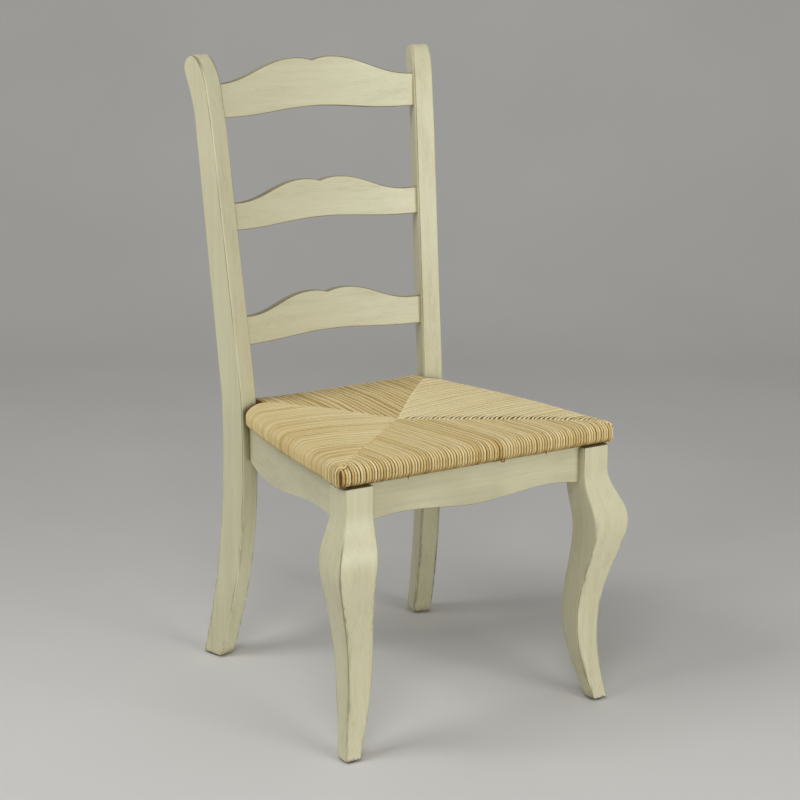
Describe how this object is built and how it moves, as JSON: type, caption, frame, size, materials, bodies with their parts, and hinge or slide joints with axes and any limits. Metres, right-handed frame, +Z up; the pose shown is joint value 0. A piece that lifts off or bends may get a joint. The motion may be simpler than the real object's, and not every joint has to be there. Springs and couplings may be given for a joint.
{
  "type": "side chair",
  "caption": "Painted ladder-back side chair with scalloped slats, scrolled rear posts, cabriole front legs, shaped aprons and a woven rush seat.",
  "frame": {"origin": "on the floor, under the middle of the chair's bounding box", "axes": "+Z up, the front of the chair faces -Y, +X towards the side that is on the right when the chair is seen from its front"},
  "size_m": [0.518, 0.5548, 1.0001],
  "materials": {
    "painted_wood": "brushed cream paint with a thin brown glaze",
    "bare_wood": "bare sawn beech",
    "rush": "twisted dry rush",
    "stuffing": "packed broken rush",
    "screw_steel": "zinc plated",
    "glide": "dark nylon"
  },
  "bodies": {
    "root": {"rear_post_left": "painted_wood", "rear_post_right": "painted_wood", "top_slat": "painted_wood", "middle_slat": "painted_wood", "lower_slat": "painted_wood", "front_leg_left": "painted_wood", "front_leg_right": "painted_wood", "front_apron": "painted_wood", "side_apron_left": "painted_wood", "side_apron_right": "painted_wood", "rear_apron": "painted_wood", "corner_block_front_left": "bare_wood", "corner_block_front_right": "bare_wood", "corner_block_rear_left": "bare_wood", "corner_block_rear_right": "bare_wood", "corner_block_screws": "screw_steel", "seat_front_rail": "bare_wood", "seat_rear_rail": "bare_wood", "seat_side_rail_left": "bare_wood", "seat_side_rail_right": "bare_wood", "seat_frame_dowels": "bare_wood", "seat_screws": "screw_steel", "stuffing_front": "stuffing", "stuffing_right": "stuffing", "stuffing_rear": "stuffing", "stuffing_left": "stuffing", "rush_front": "rush", "rush_right": "rush", "rush_rear": "rush", "rush_left": "rush", "foot_glide_front_left": "glide", "foot_glide_front_right": "glide", "foot_glide_rear_left": "glide", "foot_glide_rear_right": "glide", "glide_nails": "screw_steel"}
  },
  "joints": []
}
